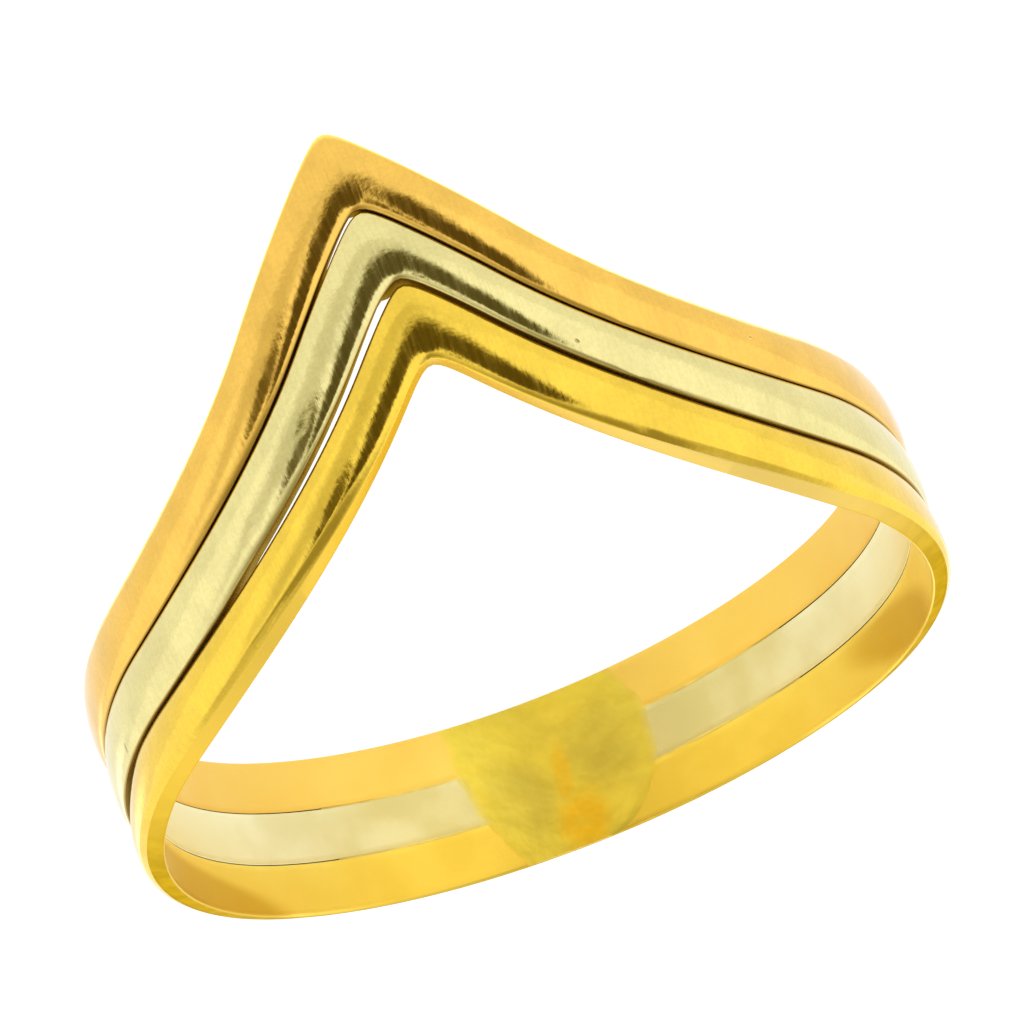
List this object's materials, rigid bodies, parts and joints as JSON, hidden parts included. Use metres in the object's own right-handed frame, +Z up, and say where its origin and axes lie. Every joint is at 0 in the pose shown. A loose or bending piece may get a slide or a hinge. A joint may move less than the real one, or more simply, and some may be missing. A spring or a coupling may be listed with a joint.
{
  "type": "wedding ring",
  "caption": "Chevron wedding ring of nested domed bands in rose, white and yellow gold, soldered together behind the finger, lying on its side.",
  "frame": {"origin": "on the surface that the ring lies on, under the middle of its bounding box", "axes": "+Z up, -Y towards the peak of the chevron; the finger's axis leans 21.0 degrees from +Z towards +Y"},
  "size_m": [0.0188, 0.0212, 0.0084],
  "materials": {
    "rose_gold": "polished outside, satin inside",
    "white_gold": "polished outside, satin inside",
    "yellow_gold": "polished outside, satin inside",
    "gold_solder": "satin"
  },
  "bodies": {
    "root": {"rose_band": "rose_gold", "white_band": "white_gold", "yellow_band": "yellow_gold", "solder": "gold_solder"}
  },
  "joints": []
}
